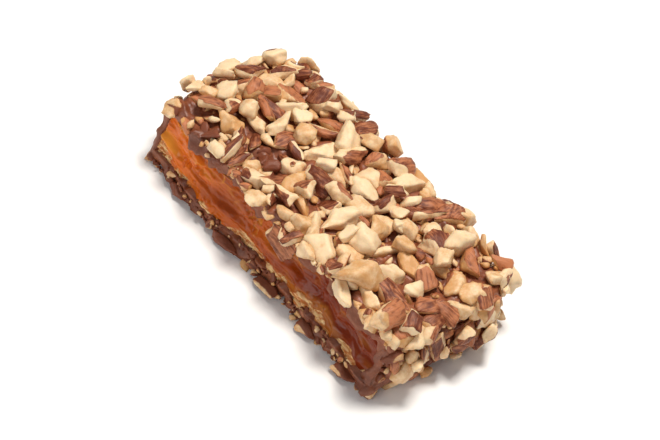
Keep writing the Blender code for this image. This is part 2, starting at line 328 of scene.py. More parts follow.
def almondMaterial(name):
    # roasted almond, chopped: matt cream flesh, and thin wrinkled brown skin where the nut's own
    # surface is left
    look = almondLook
    material, shader, tree, add = newMaterial(name)
    grain = add("Attribute", output="Vector", attribute_name="grain")
    skin = add("Attribute", output="Fac", attribute_name="skin")
    tone = add("Attribute", output="Fac", attribute_name="tone")
    smear = add("Attribute", output="Fac", attribute_name="smear")
    blotch, fine, wrinkle = patternsOf(add, grain, look["patterns"])
    # flesh: cream in the middle, tan where it roasted and tan low down as painted shade, toasted
    # beside the skin
    blotched = add("Math", (blotch, 1.5, -1.1), operation="MULTIPLY_ADD")
    speck = add("Math", (fine, 0.7, blotched), operation="MULTIPLY_ADD")
    # painted shade: "low" makes each chip tan towards its foot, near the chocolate, where shade
    # falls between the chips
    low = add("Attribute", output="Fac", attribute_name="low")
    toned = add("Math", (tone, speck), operation="ADD")
    toned = add("Math", (low, 0.55, toned), operation="MULTIPLY_ADD")
    share = add("MapRange", (toned, 0.0, 1.0), interpolation_type="SMOOTHSTEP")
    flesh = add("Mix", {0: share, 6: look["cream"], 7: look["tan"]}, 2, data_type="RGBA")
    nearSkin = add("Math", (blotch, 0.3, skin), operation="MULTIPLY_ADD")
    nearSkin = add("MapRange", (nearSkin, 0.15, 0.75), interpolation_type="SMOOTHSTEP")
    share = add("Math", (nearSkin, 0.5), operation="MULTIPLY")
    flesh = add("Mix", {0: share, 6: flesh, 7: look["toasted"]}, 2, data_type="RGBA")
    # skin: dark folds between paler ridges along the nut, partly painted shade in the hollows of
    # the wrinkle bump over the skin's own brown, and broad paler and darker parts
    broad = add("Math", (blotch, 0.6, -0.4), operation="MULTIPLY_ADD")
    fold = add("Math", (wrinkle, 0.9, broad), operation="MULTIPLY_ADD")
    fold = add("Math", (tone, 0.45, fold), operation="MULTIPLY_ADD")
    share = add("MapRange", (fold, 0.28, 0.68), interpolation_type="SMOOTHSTEP")
    folded = add("Mix", {0: share, 6: look["skinDark"], 7: look["skinLight"]}, 2, data_type="RGBA")
    torn = add("Math", (fine, 0.5, -0.25), operation="MULTIPLY_ADD")
    edge = add("Math", (skin, torn), operation="ADD")
    skinShare = add("MapRange", (edge, 0.24, 0.38), interpolation_type="SMOOTHSTEP")
    colour = add("Mix", {0: skinShare, 6: flesh, 7: folded}, 2, data_type="RGBA")
    # chocolate drawn up over the foot of each piece
    ragged = add("Math", (blotch, 0.9, -0.45), operation="MULTIPLY_ADD")
    edge = add("Math", (smear, ragged), operation="ADD")
    share = add("MapRange", (edge, 0.4, 0.62), interpolation_type="SMOOTHSTEP")
    colour = add("Mix", {0: share, 6: colour, 7: look["smear"]}, 2, data_type="RGBA")
    roughness = add("Math", (fine, 0.3, 0.36), operation="MULTIPLY_ADD")
    ridges = add("Math", (wrinkle, skinShare), operation="MULTIPLY")
    ridges = add("Math", (ridges, 1.5), operation="MULTIPLY")
    height = add("Math", (fine, 0.6, ridges), operation="MULTIPLY_ADD")
    dress(tree, shader, look, colour, roughness, height)
    return material


chocolateLook = {
    "base": "#945232",
    "dark": "#71381e",
    "bloom": "#b07658",
    "patterns": {"broad": (4.0, 1, 4.0, 0.5), "fine": (0.5, 1, 4.0, 0.6)},
    "bump": (0.6, 0.12),
    "shader": {
        "Subsurface Weight": 0.05,
        "Subsurface Radius": (1.0, 0.4, 0.2),
        "Subsurface Scale": 0.6 * mm,
        "Specular IOR Level": 0.5,
    },
}


def chocolateMaterial():
    # milk chocolate, poured and set: satin brown, paler and duller where the nuts rubbed it
    look = chocolateLook
    material, shader, tree, add = newMaterial("milkChocolateSet")
    inPlace = add("TexCoord", output="Object")
    inPlace = add("VectorMath", {0: inPlace, "Scale": 1 / mm}, operation="SCALE")
    broad, fine = patternsOf(add, inPlace, look["patterns"])
    share = add("MapRange", (broad, 0.35, 0.65), interpolation_type="SMOOTHSTEP")
    colour = add("Mix", {0: share, 6: look["dark"], 7: look["base"]}, 2, data_type="RGBA")
    rubbed = add("MapRange", (fine, 0.5, 0.8), interpolation_type="SMOOTHSTEP")
    share = add("Math", (rubbed, 0.35), operation="MULTIPLY")
    colour = add("Mix", {0: share, 6: colour, 7: look["bloom"]}, 2, data_type="RGBA")
    roughness = add("Math", (fine, 0.3, 0.28), operation="MULTIPLY_ADD")
    dress(tree, shader, look, colour, roughness, fine)
    return material


toffeeLook = {
    "bright": "#dc6a10",
    "deep": "#7c2a07",
    # golden: the colour of the golden clouds, and of the painted glow on ridges
    "glow": "#e59a38",
    "pale": "#f2cc92",
    "crumbly": "#b96c30",
    "paintedShadeAlong": (-4.0, 54.0),  # painted shade: from bright to deep between these places along the piece, darker to the right
    "wander": 60.0,  # how far the broad pattern moves them
    "patterns": {
        "streak": (0.45, 10, 3.0, 0.55),
        "cloud": (2.6, 4, 1.5, 0.4),
        "broad": (9.0, 1, 2.0, 0.5),
        "fine": (0.35, 1, 4.0, 0.6),
    },
    "bump": (0.35, 0.2),
    "shader": {
        "Subsurface Weight": 0.15,
        "Subsurface Radius": (1.0, 0.35, 0.08),
        "Subsurface Scale": 1.2 * mm,
        "Specular IOR Level": 0.32,
        "IOR": 1.45,
    },
}


def toffeeMaterial():
    # butter toffee, boiled hard and broken: glassy amber where it split clean, from orange to deep
    # red-brown along the piece as painted shade, with golden clouds and a painted glow on its
    # ridges, and a pale streaky rim where it crumbled
    look = toffeeLook
    material, shader, tree, add = newMaterial("butterToffeeBroken")
    inPlace = add("TexCoord", output="Object")
    inPlace = add("VectorMath", {0: inPlace, "Scale": 1 / mm}, operation="SCALE")
    x = add("SeparateXYZ", (inPlace,))
    rough = add("Attribute", output="Fac", attribute_name="rough")
    streak, cloud, broad, fine = patternsOf(add, inPlace, look["patterns"])
    # clean break: bright to deep along the piece as painted shade, then golden clouds, dark clouds
    # and a painted glow on ridges
    along = add("Math", (broad, look["wander"], x), operation="MULTIPLY_ADD")
    along = add("MapRange", (along, *look["paintedShadeAlong"]), interpolation_type="SMOOTHSTEP")
    colour = add("Mix", {0: along, 6: look["bright"], 7: look["deep"]}, 2, data_type="RGBA")
    golden = add("MapRange", (cloud, 0.5, 0.75), interpolation_type="SMOOTHSTEP")
    goldenMost = add("Math", (along, -0.4, 0.65), operation="MULTIPLY_ADD")
    share = add("Math", (golden, goldenMost), operation="MULTIPLY")
    colour = add("Mix", {0: share, 6: colour, 7: look["glow"]}, 2, data_type="RGBA")
    dark = add("MapRange", (cloud, 0.5, 0.3), interpolation_type="SMOOTHSTEP")
    share = add("Math", (dark, 0.5), operation="MULTIPLY")
    colour = add("Mix", {0: share, 6: colour, 7: look["deep"]}, 2, data_type="RGBA")
    # painted glow: thin ridges and raised shard edges painted paler golden, as if light shone
    # through them
    paintedGlow = add("Attribute", output="Fac", attribute_name="paintedGlow")
    paintedGlowMost = add("Math", (along, -0.5, 0.7), operation="MULTIPLY_ADD")
    share = add("Math", (paintedGlow, paintedGlowMost), operation="MULTIPLY")
    colour = add("Mix", {0: share, 6: colour, 7: look["glow"]}, 2, data_type="RGBA")
    # crumbly rim: pale streaks, with a ragged edge
    share = add("MapRange", (streak, 0.4, 0.64), interpolation_type="SMOOTHSTEP")
    crumbly = add("Mix", {0: share, 6: look["crumbly"], 7: look["pale"]}, 2, data_type="RGBA")
    crumbled = add("Math", (rough, -0.45), operation="ADD")
    crumbled = add("Math", (streak, 0.9, crumbled), operation="MULTIPLY_ADD")
    share = add("MapRange", (crumbled, 0.2, 0.8), interpolation_type="SMOOTHSTEP")
    colour = add("Mix", {0: share, 6: colour, 7: crumbly}, 2, data_type="RGBA")
    roughness = add("Math", (rough, 0.25, 0.1), operation="MULTIPLY_ADD")
    roughness = add("Math", (fine, 0.1, roughness), operation="MULTIPLY_ADD")
    strings = add("Math", (rough, 0.7, 0.3), operation="MULTIPLY_ADD")
    strings = add("Math", (streak, strings), operation="MULTIPLY")
    height = add("Math", (fine, 0.2, strings), operation="MULTIPLY_ADD")
    dress(tree, shader, look, colour, roughness, height)
    return material


almondFinish = {
    "almond_meat": almondMaterial("roastedAlmondFlesh"),
    "almond_skin": almondMaterial("roastedAlmondSkin"),
}
chocolate = chocolateMaterial()
toffee = toffeeMaterial()
print("materials ready")

# Almonds: every piece is a chip whose faces are planes, rounded where they meet, then dented,
# tapered and bent

almond = {
    "sharpness": 23,  # larger is crisper
    "uneven": 0.045,  # share of the radius
    "unevenSize": 2.4,
    "dents": 3,
    "dentDepth": 0.24,
    "dentWidth": 0.32,
    "overGround": 0.03,
    "smearHeight": 0.9,  # to which chocolate is drawn up over a chip
    "heavyShare": 0.15,  # share of the chips on which it is drawn higher
    "heavySmear": (0.2, 1.1),  # by this much
    # painted shade: chips go tan below this height above the chocolate
    "paintedShadeHeight": 3.4,
    "tone": (1.1, 2.8),  # the two figures of a beta spread: most chips are pale and a few are tan
    "drops": {"almond_19": 0.85},  # the taper of those that come to a point
    "extraCuts": 6,  # planes that take the corners off a CAD almond
    "extraReach": (0.72, 0.95),
    "grow": 1.05,  # so that its rounded shape fills the CAD almond
    "skinLimit": 0.4,  # how far a plane may lean and still be skin
    "fleshLimits": (0.75, 0.9, 2),
}
meshSteps = {"large": (30, 42), "medium": (18, 26), "small": (8, 12), "crumb": (5, 8)}


def chipSkins(chips, rings, around, seed):
    # for each chip, r(direction) = (sum of (n . direction / reach)^p over the planes that face
    # it)^(-1/p), less the dents; then y and z are multiplied by (1 + taper * t) / (1 + 0.55 *
    # |taper|), where t runs from -1 to 1 along x, and z rises by bend * (t^2 - 0.4) times the half
    # length; returns points (chips, directions, 3), the share of each point that the skin planes
    # hold, and each chip's place in a nut
    rng = np.random.default_rng(seed)
    count = len(chips["normals"])
    directions = ballDirections(rings, around) * chips["halves"][:, None, :]
    directions /= np.linalg.norm(directions, axis=-1, keepdims=True)
    facing = np.einsum("cpk,cdk->cdp", chips["normals"], directions).clip(0)
    power = (facing / chips["reach"][:, None, :]) ** almond["sharpness"]
    total = power.sum(-1)
    radius = total ** (-1 / almond["sharpness"])
    skin = (power * chips["skinFaces"][:, None, :]).sum(-1) / total
    for _ in range(almond["dents"]):
        way = rng.normal(size=(count, 1, 3))
        way /= np.linalg.norm(way, axis=-1, keepdims=True)
        near = ((directions - way) ** 2).sum(-1)
        depth = almond["dentDepth"] * rng.uniform(0, 1, (count, 1)) ** 1.5
        radius = radius * (1 - depth * (1 - skin) * np.exp(-near / almond["dentWidth"]))
    offset = rng.uniform(-200, 200, (count, 1, 3))
    wobble = waveField(directions * radius[..., None] + offset, almond["unevenSize"], seed + 1)
    radius = radius * (1 + almond["uneven"] * wobble)
    local = directions * radius[..., None]
    long = np.abs(local[..., 0]).max(1, keepdims=True)
    t = local[..., 0] / long
    taper = chips["tapers"][:, None]
    swell = (1 + taper * t) / (1 + 0.55 * np.abs(taper))
    local[..., 1] *= swell
    local[..., 2] = local[..., 2] * swell + chips["bends"][:, None] * long * (t * t - 0.4)
    return local, skin, offset


def turnedBy(axisX, axisZ):
    # rotation matrices (chips, 3, 3) whose columns are the chip's own axes: z first, and x made
    # square to it
    z = axisZ / np.linalg.norm(axisZ, axis=-1, keepdims=True)
    x = axisX - (axisX * z).sum(-1, keepdims=True) * z
    x /= np.linalg.norm(x, axis=-1, keepdims=True)
    return np.stack([x, np.cross(z, x), z], -1)


def almondPiece(name, slot, chips, size, seed, nodes=()):
    # joins the chips into one piece, each laid in its place, and gives each point what the
    # material reads
    rings, around = meshSteps[size]
    rng = np.random.default_rng(seed + 7)
    local, skin, offset = chipSkins(chips, rings, around, seed)
    world = np.einsum("cij,cdj->cdi", chips["turns"], local) + chips["centres"][:, None, :]
    world[..., 2] = np.maximum(world[..., 2], almond["overGround"])
    height = awayFromCoat(squared(world))[0]
    height = np.maximum(height, front + fracture(world[..., 0], world[..., 2]) - world[..., 1])
    isHeavy = rng.uniform(size=(len(local), 1)) < almond["heavyShare"]
    heavy = isHeavy * rng.uniform(*almond["heavySmear"], (len(local), 1))
    heavy = heavy + chips["smears"][:, None]
    smear = 1 - smoothStep(0, almond["smearHeight"], height - 0.2 - heavy)
    # painted shade: each chip is tan towards its foot, near the chocolate, and cream higher up
    low = 1 - smoothStep(0.4, almond["paintedShadeHeight"], height)
    tone = np.broadcast_to(chips["tones"][:, None], skin.shape)
    quads, triangles = ballFaces(rings, around, len(local))
    attributes = {
        "grain": (local + offset).reshape(-1, 3),
        "skin": skin.ravel(),
        "tone": tone.ravel(),
        "smear": smear.ravel(),
        "low": low.ravel(),
    }
    points = world.reshape(-1, 3)
    piece = meshPiece(name, points, quads, triangles, almondFinish[slot], attributes)
    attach(piece, "root")
    if nodes:
        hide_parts(*nodes)
    print(f"{name}: {len(local)} chips, {triangleCount(quads, triangles)} triangles")


def frameChip(node):
    # the planes of one CAD almond: the centre, and each flat face's normal and its distance from
    # the centre, in mm
    mesh = frame["nodes"][node].data
    points = readRows(mesh.vertices, "co").astype(float) / mm
    corners = readRows(mesh.loops, "vertex_index", np.int32)
    a, b, c = (points[corners[:, i]] for i in range(3))
    crossed = np.cross(b - a, c - a)
    area = np.linalg.norm(crossed, axis=1)
    keep = area > 0.02  # slivers have no sure direction
    normals = crossed[keep] / area[keep][:, None]
    centre = (points.min(0) + points.max(0)) / 2
    reach = ((a[keep] - centre) * normals).sum(1)
    rounded = np.round(normals * 12).astype(int)
    unique = np.unique(rounded, axis=0, return_index=True)[1]
    return centre, normals[unique], reach[unique]


def frameChips(nodes, skinned, seed):
    # the CAD almonds of one slot as chips, each with its long way as x; unused plane rows are
    # padded far away, and a few more planes are added that take off the corners
    rng = np.random.default_rng(seed)
    found = [frameChip(node) for node in nodes]
    extra = almond["extraCuts"]
    count, most = len(nodes), max(len(normals) for _, normals, _ in found) + extra
    centres = np.array([centre for centre, _, _ in found])
    outward = awayFromCoat(squared(centres))[1]
    normals = np.zeros((count, most, 3))
    reach = np.full((count, most), 1e6)
    skinFaces = np.zeros((count, most))
    turns = np.zeros((count, 3, 3))
    halves = np.ones((count, 3))
    for i, (_, planes, distances) in enumerate(found):
        low, high = boxOf(nodes[i])
        longWay = np.eye(3)[np.argmax(high - low)] + rng.normal(size=3) * 0.2
        turns[i] = turnedBy(longWay[None], outward[i:i + 1])[0]
        halves[i] = np.abs(turns[i].T @ (high - low)) / 2
        planes = planes @ turns[i]
        used = len(planes)
        normals[i, :used] = planes
        reach[i, :used] = distances * almond["grow"]
        more = rng.normal(size=(extra, 3))
        more /= np.linalg.norm(more, axis=1, keepdims=True)
        normals[i, used:used + extra] = more
        support = np.linalg.norm(more * halves[i], axis=1)
        reach[i, used:used + extra] = support * rng.uniform(*almond["extraReach"], extra)
        way = np.array([0, 0, 1]) if skinned else rng.normal(size=3) + np.array([0, 0, 0.3])
        limit = almond["skinLimit"] if skinned else rng.choice(almond["fleshLimits"])
        facesWay = normals[i, :used + extra] @ (way / np.linalg.norm(way))
        skinFaces[i, :used + extra] = facesWay > limit
    tapers = rng.uniform(-0.6, 0.6, count)
    tapers = np.array([almond["drops"].get(node, taper) for node, taper in zip(nodes, tapers)])
    bends = rng.uniform(-0.2, 0.2, count)
    tones = rng.beta(*almond["tone"], count)
    # chocolate is drawn over those under the broken side
    smears = np.where(centres[:, 1] < front, rng.uniform(0.3, 1.5, count), 0)
    return {
        "normals": normals,
        "reach": reach,
        "skinFaces": skinFaces,
        "halves": halves,
        "turns": turns,
        "centres": centres,
        "tapers": tapers,
        "bends": bends,
        "tones": tones,
        "smears": smears,
    }


slots = {row["node"]: row["material_slot"] for row in frame["record"]["subparts"]}
almondNodes = sorted(node for node in frame["nodes"] if node.startswith("almond"))
for name, slot, seed in (("large_almonds_pale", "almond_meat", 11),
                         ("large_almonds_skinned", "almond_skin", 12)):
    nodes = [node for node in almondNodes if slots[node] == slot]
    chips = frameChips(nodes, slot == "almond_skin", seed)
    almondPiece(name, slot, chips, "large", seed + 10, nodes)

# Smaller chips are dropped one by one: each rises along the way out until it clears those before
# it

scatter = {
    "clearance": 0.64,  # share of the summed radii that two chips keep apart
    "liftStep": 0.3,
    "liftMost": 2.2,
    "nearby": 12,  # balls further away than this aren't tested
    "tries": 14,  # places tried for each chip
    "lean": 0.6,  # how far a tilt of 1 turns a chip's flat side
    "sink": 0.5,  # share of its half thickness at which a chip's middle sits over the chocolate
    "bareSpots": [  # x, y and radius, where chocolate shows on top
        (-30, -12.5, 4.5),
        (-12, -6, 2.6),
        (-23, -12.5, 2.5),
    ],
    "kinds": {  # share of the chips; width and thickness to length; most taper; most bend
        "chunk": (0.3, (0.72, 0.95), (0.58, 0.8), 0.3, 0.08),
        "wedge": (0.3, (0.62, 0.9), (0.45, 0.68), 0.55, 0.12),
        "sliver": (0.2, (0.36, 0.54), (0.32, 0.48), 0.35, 0.3),
        "flake": (0.2, (0.66, 0.95), (0.3, 0.42), 0.3, 0.24),
    },
}


def capsuleOf(halves, turns, centres):
    # three balls along each chip's long axis stand for it when places are tried
    radius = halves[:, 1:].mean(1)
    spread = np.maximum(halves[:, 0] - radius, 0)
    steps = np.array([-1.0, 0.0, 1.0])
    balls = centres[:, None, :] + (steps[:, None] * turns[:, None, :, 0]) * spread[:, None, None]
    return balls, np.repeat(radius[:, None], 3, 1)


class Pile:
    # the balls of every chip laid so far, in the square layout
    def __init__(self):
        self.balls = np.zeros((0, 3))
        self.radii = np.zeros(0)

    def add(self, balls, radii):
        self.balls = np.concatenate([self.balls, balls.reshape(-1, 3)])
        self.radii = np.concatenate([self.radii, radii.ravel()])

    def lift(self, balls, radii, outward, most):
        # the least lift at which no ball comes closer than the clearance, or None
        near = np.linalg.norm(self.balls - balls[1], axis=1) < scatter["nearby"]
        others = self.balls[near]
        apart = scatter["clearance"] * (self.radii[near][:, None] + radii[None])
        for rise in np.arange(0, most + 1e-6, scatter["liftStep"]):
            gap = np.linalg.norm(others[:, None] - (balls + outward * rise)[None], axis=2)
            if (gap > apart).all():
                return rise
        return None


pile = Pile()
for node in almondNodes:  # the CAD almonds come first, each as three balls along its long way
    low, high = boxOf(node)
    half = (high - low) / 2
    radius = np.sort(half)[:2].mean()
    axis = np.eye(3)[np.argmax(half)] * max(half.max() - radius, 0) * 0.8
    centre = squared((low + high) / 2)
    pile.add(centre + np.array([-1.0, 0.0, 1.0])[:, None] * axis, np.full(3, radius))

length, depth, height = coatHigh[0] - coatLow[0], coatHigh[1] - front, coatHigh[2] - coatLow[2]
left, right, behind = coatLow[0], coatHigh[0], coatHigh[1]
lowest, highest = coatLow[2], coatHigh[2]
regions = {  # a part of the coat's box: its first corner, and the two ways that it runs from there
    "top": ((left + 0.3, front + 2.8, highest), (length - 0.6, 0, 0), (0, depth - 2.8, 0)),
    "edge": ((left + 0.3, front + 0.9, highest), (length - 0.6, 0, 0), (0, 2.6, 0)),
    "buried": ((left + 0.5, front + 0.9, highest), (25, 0, 0), (0, 9, 0)),
    "back": ((left, behind, lowest + 0.5), (length, 0, 0), (0, 0, height)),
    "backTop": ((-20, behind, highest), (52, 0, 0), (0, 0, -2.5)),
    "right": ((right, front + 0.6, lowest + 0.5), (0, depth - 0.6, 0), (0, 0, height)),
    "rightTop": ((right, front + 1.5, highest), (0, depth - 1.5, 0), (0, 0, -7)),
    "left": ((left, front + 6, lowest + 0.5), (0, depth - 6, 0), (0, 0, height)),
    "leftTop": ((left, front + 8, highest), (0, depth - 8, 0), (0, 0, -2)),
    "lip": ((left + 6, front + 0.1, lowest + 0.2), (length - 9, 0, 0), (0, 0, slabLow[2] - lowest)),
    "foot": ((left, front + 0.3, lowest + 0.2), (length, 0, 0), (0, -0.8, 0)),
    "under": ((left, front + 0.6, lowest), (length, 0, 0), (0, depth - 0.6, 0)),
}


def isBare(point):
    onTop = point[2] > 10
    spots = scatter["bareSpots"]
    return onTop and any(np.hypot(point[0] - x, point[1] - y) < r for x, y, r in spots)


def layChips(region, count, sizes, seed, lift=None, tilt=0.5):
    # tries random places in a region, corner + u * one way + v * the other; sizes gives the least
    # and most half length, and the kind gives the rest
    rng = np.random.default_rng(seed)
    most = scatter["liftMost"] if lift is None else lift
    kinds = list(scatter["kinds"].values())
    shares = [kind[0] for kind in kinds]
    corner, wayU, wayV = (np.array(part, float) for part in regions[region])
    kept = []
    for _ in range(count * scatter["tries"]):
        if len(kept) == count:
            break
        _, widths, thicknesses, taper, bend = kinds[rng.choice(len(kinds), p=shares)]
        long = rng.uniform(*sizes)
        halves = long * np.array([1, rng.uniform(*widths), rng.uniform(*thicknesses)])
        u, v = rng.uniform(size=2)
        point = corner + u * wayU + v * wayV
        outward = awayFromCoat(point[None])[1][0]
        foot = np.clip(point, innerLow, innerHigh) + outward * coat["radius"]
        if region == "lip":
            outward = np.array([0, -1.0, 0])
            foot = point + np.array([0, fracture(point[0], point[2]), 0])
        axisZ = outward + rng.normal(size=3) * tilt * scatter["lean"]
        turns = turnedBy(rng.normal(size=(1, 3)), axisZ[None])
        centre = foot + outward * halves[2] * scatter["sink"]
        balls, radii = capsuleOf(halves[None], turns, centre[None])
        rise = pile.lift(balls[0], radii[0], outward, most)
        shape = (rng.uniform(-taper, taper), rng.uniform(-bend, bend))
        if rise is None or isBare(point) != (region == "buried"):
            continue
        centre = centre + outward * rise
        if centre[2] - halves[2] * 0.4 < 0.05 and region != "under":
            continue
        pile.add(balls[0] + outward * rise, radii[0])
        kept.append((halves, turns[0], centre, shape))
    print(f"{region}: laid {len(kept)} of {count}")
    return kept


cutChip = {
    "outOfSquare": 0.28,  # lean of its six sides
    "sideReach": (0.8, 1.0),
    "cuts": 9,  # corners knocked off
    "cutReach": (0.74, 1.12),
    "skinReach": (0.8, 0.95),
    "roll": 0.9,  # how far round the long way the skin is turned
    "skinLean": [  # ways of the planes that make its curved side of skin
        (0, 0, 1), (0.45, 0, 1), (-0.45, 0, 1), (0, 0.6, 1), (0, -0.6, 1), (0, 1.4, 1),
        (0, -1.4, 1),
    ],
    "bareSmear": 3.0,  # how much higher chocolate is drawn over those where it shows
}


def randomChips(places, skinShare, seed):
    # cuts a random chip for each place: six sides out of square, corners knocked off at random,
    # and some keep a curved side of skin, made of planes that lean round it, which is rolled to
    # any side about the long way
    rng = np.random.default_rng(seed)
    count = len(places)
    cuts = cutChip["cuts"]
    halves = np.array([place[0] for place in places])
    sides = np.concatenate([np.eye(3), -np.eye(3)])
    box = sides + rng.normal(size=(count, 6, 3)) * cutChip["outOfSquare"]
    corner = rng.normal(size=(count, cuts, 3))
    roll = rng.normal(size=count) * cutChip["roll"]
    zero, cos, sin = np.zeros(count), np.cos(roll), np.sin(roll)
    rolled = np.stack([
        np.stack([zero + 1, zero, zero], 1),
        np.stack([zero, cos, sin], 1),
        np.stack([zero, -sin, cos], 1),
    ], 1)
    bark = np.array(cutChip["skinLean"]) @ rolled
    unit = np.concatenate([box, corner, bark], 1)
    unit = unit / np.linalg.norm(unit, axis=-1, keepdims=True)
    reach = np.ones((count, unit.shape[1]))
    reach[:, :6] = rng.uniform(*cutChip["sideReach"], (count, 6))
    reach[:, 6:6 + cuts] = rng.uniform(*cutChip["cutReach"], (count, cuts))
    reach[:, 6 + cuts:] = rng.uniform(*cutChip["skinReach"], (count, 1))
    scaled = unit / halves[:, None, :]
    length = np.linalg.norm(scaled, axis=-1)
    reach = reach / length
    hasSkin = (rng.uniform(size=count) < skinShare)[:, None]
    facesSkin = (unit * rolled[:, 2][:, None]).sum(-1) > 0.5
    facesSkin[:, 6 + cuts:] = False
    reach[hasSkin & facesSkin] = 1e6
    reach[:, 6 + cuts:] = np.where(hasSkin, reach[:, 6 + cuts:], 1e6)
    skinFaces = np.zeros(reach.shape)
    skinFaces[:, 6 + cuts:] = 1
    return {
        "normals": scaled / length[..., None],
        "reach": reach,
        "skinFaces": skinFaces,
        "halves": halves,
        "turns": np.array([place[1] for place in places]),
        "centres": cornered(np.array([place[2] for place in places])),
        "tapers": np.array([place[3][0] for place in places]),
        "bends": np.array([place[3][1] for place in places]),
        "tones": rng.beta(*almond["tone"], count),
        "smears": np.array([cutChip["bareSmear"] * isBare(place[2]) for place in places]),
    }


choppedAlmonds = {
    "amounts": {  # chips, and their most half length
        "buried": (6, 2),
        "backTop": (16, 3.3),
        "leftTop": (8, 3),
        "top": (150, 3.1),
        "back": (50, 2.8),
        "rightTop": (20, 2.5),
        "left": (20, 2.5),
        "edge": (6, 2),
    },
    "least": 0.55,  # least half length to most
    "under": (90, (1.6, 2.6)),  # flat against the underside
    "skinShares": (0.3, 0.85),  # of the pale and of the skinned
}

medium = []
for region, (count, most) in choppedAlmonds["amounts"].items():
    sizes = (most * choppedAlmonds["least"], most)
    medium += layChips(region, count, sizes, 100 + len(medium))
medium += layChips("under", *choppedAlmonds["under"], 151, lift=0, tilt=0.1)
order = np.random.default_rng(5).permutation(len(medium))
half = len(order) // 2
palePlaces, brownPlaces = [medium[i] for i in order[:half]], [medium[i] for i in order[half:]]
paleShare, brownShare = choppedAlmonds["skinShares"]
paleChips = randomChips(palePlaces, paleShare, 31)
brownChips = randomChips(brownPlaces, brownShare, 33)
almondPiece("chopped_almonds_pale", "almond_meat", paleChips, "medium", 32)
almondPiece("chopped_almonds_skinned", "almond_skin", brownChips, "medium", 34)

smallAlmonds = {
    "rim": (14, (1.2, 1.9)),  # the larger ones of the edge over the break
    "sizes": (0.8, 1.5),
    "amounts": {  # chips, and their most lift
        "top": (130, 1.2),
        "back": (80, 1.2),
        "right": (40, 1.2),
        "left": (34, 1.2),
        "edge": (20, 1.2),
        "lip": (12, 0.3),
        "foot": (12, 0.3),
        "under": (60, 0),
    },
    "skinShare": 0.4,
}

small = layChips("edge", *smallAlmonds["rim"], 170, lift=1.2)
for region, (count, lift) in smallAlmonds["amounts"].items():
    small += layChips(region, count, smallAlmonds["sizes"], 200 + len(small), lift)
smallChips = randomChips(small, smallAlmonds["skinShare"], 35)
almondPiece("small_almonds", "almond_meat", smallChips, "small", 36)

almondCrumbs = {
    "sizes": (0.35, 0.8),
    "amounts": {
        "top": 150,
        "back": 110,
        "right": 60,
        "left": 50,
        "edge": 60,
        "lip": 70,
        "foot": 40,
        "under": 60,
    },
    "lift": 0.6,
    "skinShare": 0.35,
}

crumbs = []
for region, count in almondCrumbs["amounts"].items():
    lift = 0 if region == "under" else almondCrumbs["lift"]
    crumbs += layChips(region, count, almondCrumbs["sizes"], 300 + len(crumbs), lift)
crumbChips = randomChips(crumbs, almondCrumbs["skinShare"], 37)
almondPiece("almond_crumbs", "almond_meat", crumbChips, "crumb", 38)

# Two chips have a place of their own at the rim of the break

rimAlmonds = {
    "overhanging_almond": {
        "x": 2.5,
        "overTop": -1.9,  # its middle over the top of the coat
        "out": 1.6,  # and in front of the break
        "halves": (3.6, 2.8, 0.85),
        "longWay": (1, 0, 0),
        "wayOut": (0, -0.85, 0.5),
        "slot": "almond_skin",
        "seed": 400,
    },
    "corner_almond": {
        "x": -31.4,
        "overTop": -0.9,
        "out": 0.0,
        "halves": (2.3, 1.8, 1.2),
        "longWay": (1, 0, 0.4),
        "wayOut": (-0.3, -0.5, 0.8),
        "slot": "almond_meat",
        "seed": 410,
    },
}


def rimPiece(name, rim):
    # one chip whose middle stands in front of the break, and which the chocolate rises round
    z = coatHigh[2] + rim["overTop"]
    centre = np.array([rim["x"], front + fracture(rim["x"], z) - rim["out"], z])
    halves = np.array(rim["halves"])
    turns = turnedBy(np.array([rim["longWay"]], float), np.array([rim["wayOut"]], float))
    pile.add(*capsuleOf(halves[None], turns, centre[None]))
    taper, bend = 0.3, 0.15
    skinShare = float(rim["slot"] == "almond_skin")
    chips = randomChips([(halves, turns[0], centre, (taper, bend))], skinShare, rim["seed"])
    chips["smears"][:] = 0
    almondPiece(name, rim["slot"], chips, "medium", rim["seed"] + 1)


for name, rim in rimAlmonds.items():
    rimPiece(name, rim)

# Chocolate coat: a C-shaped section carried along the piece, closed at both ends


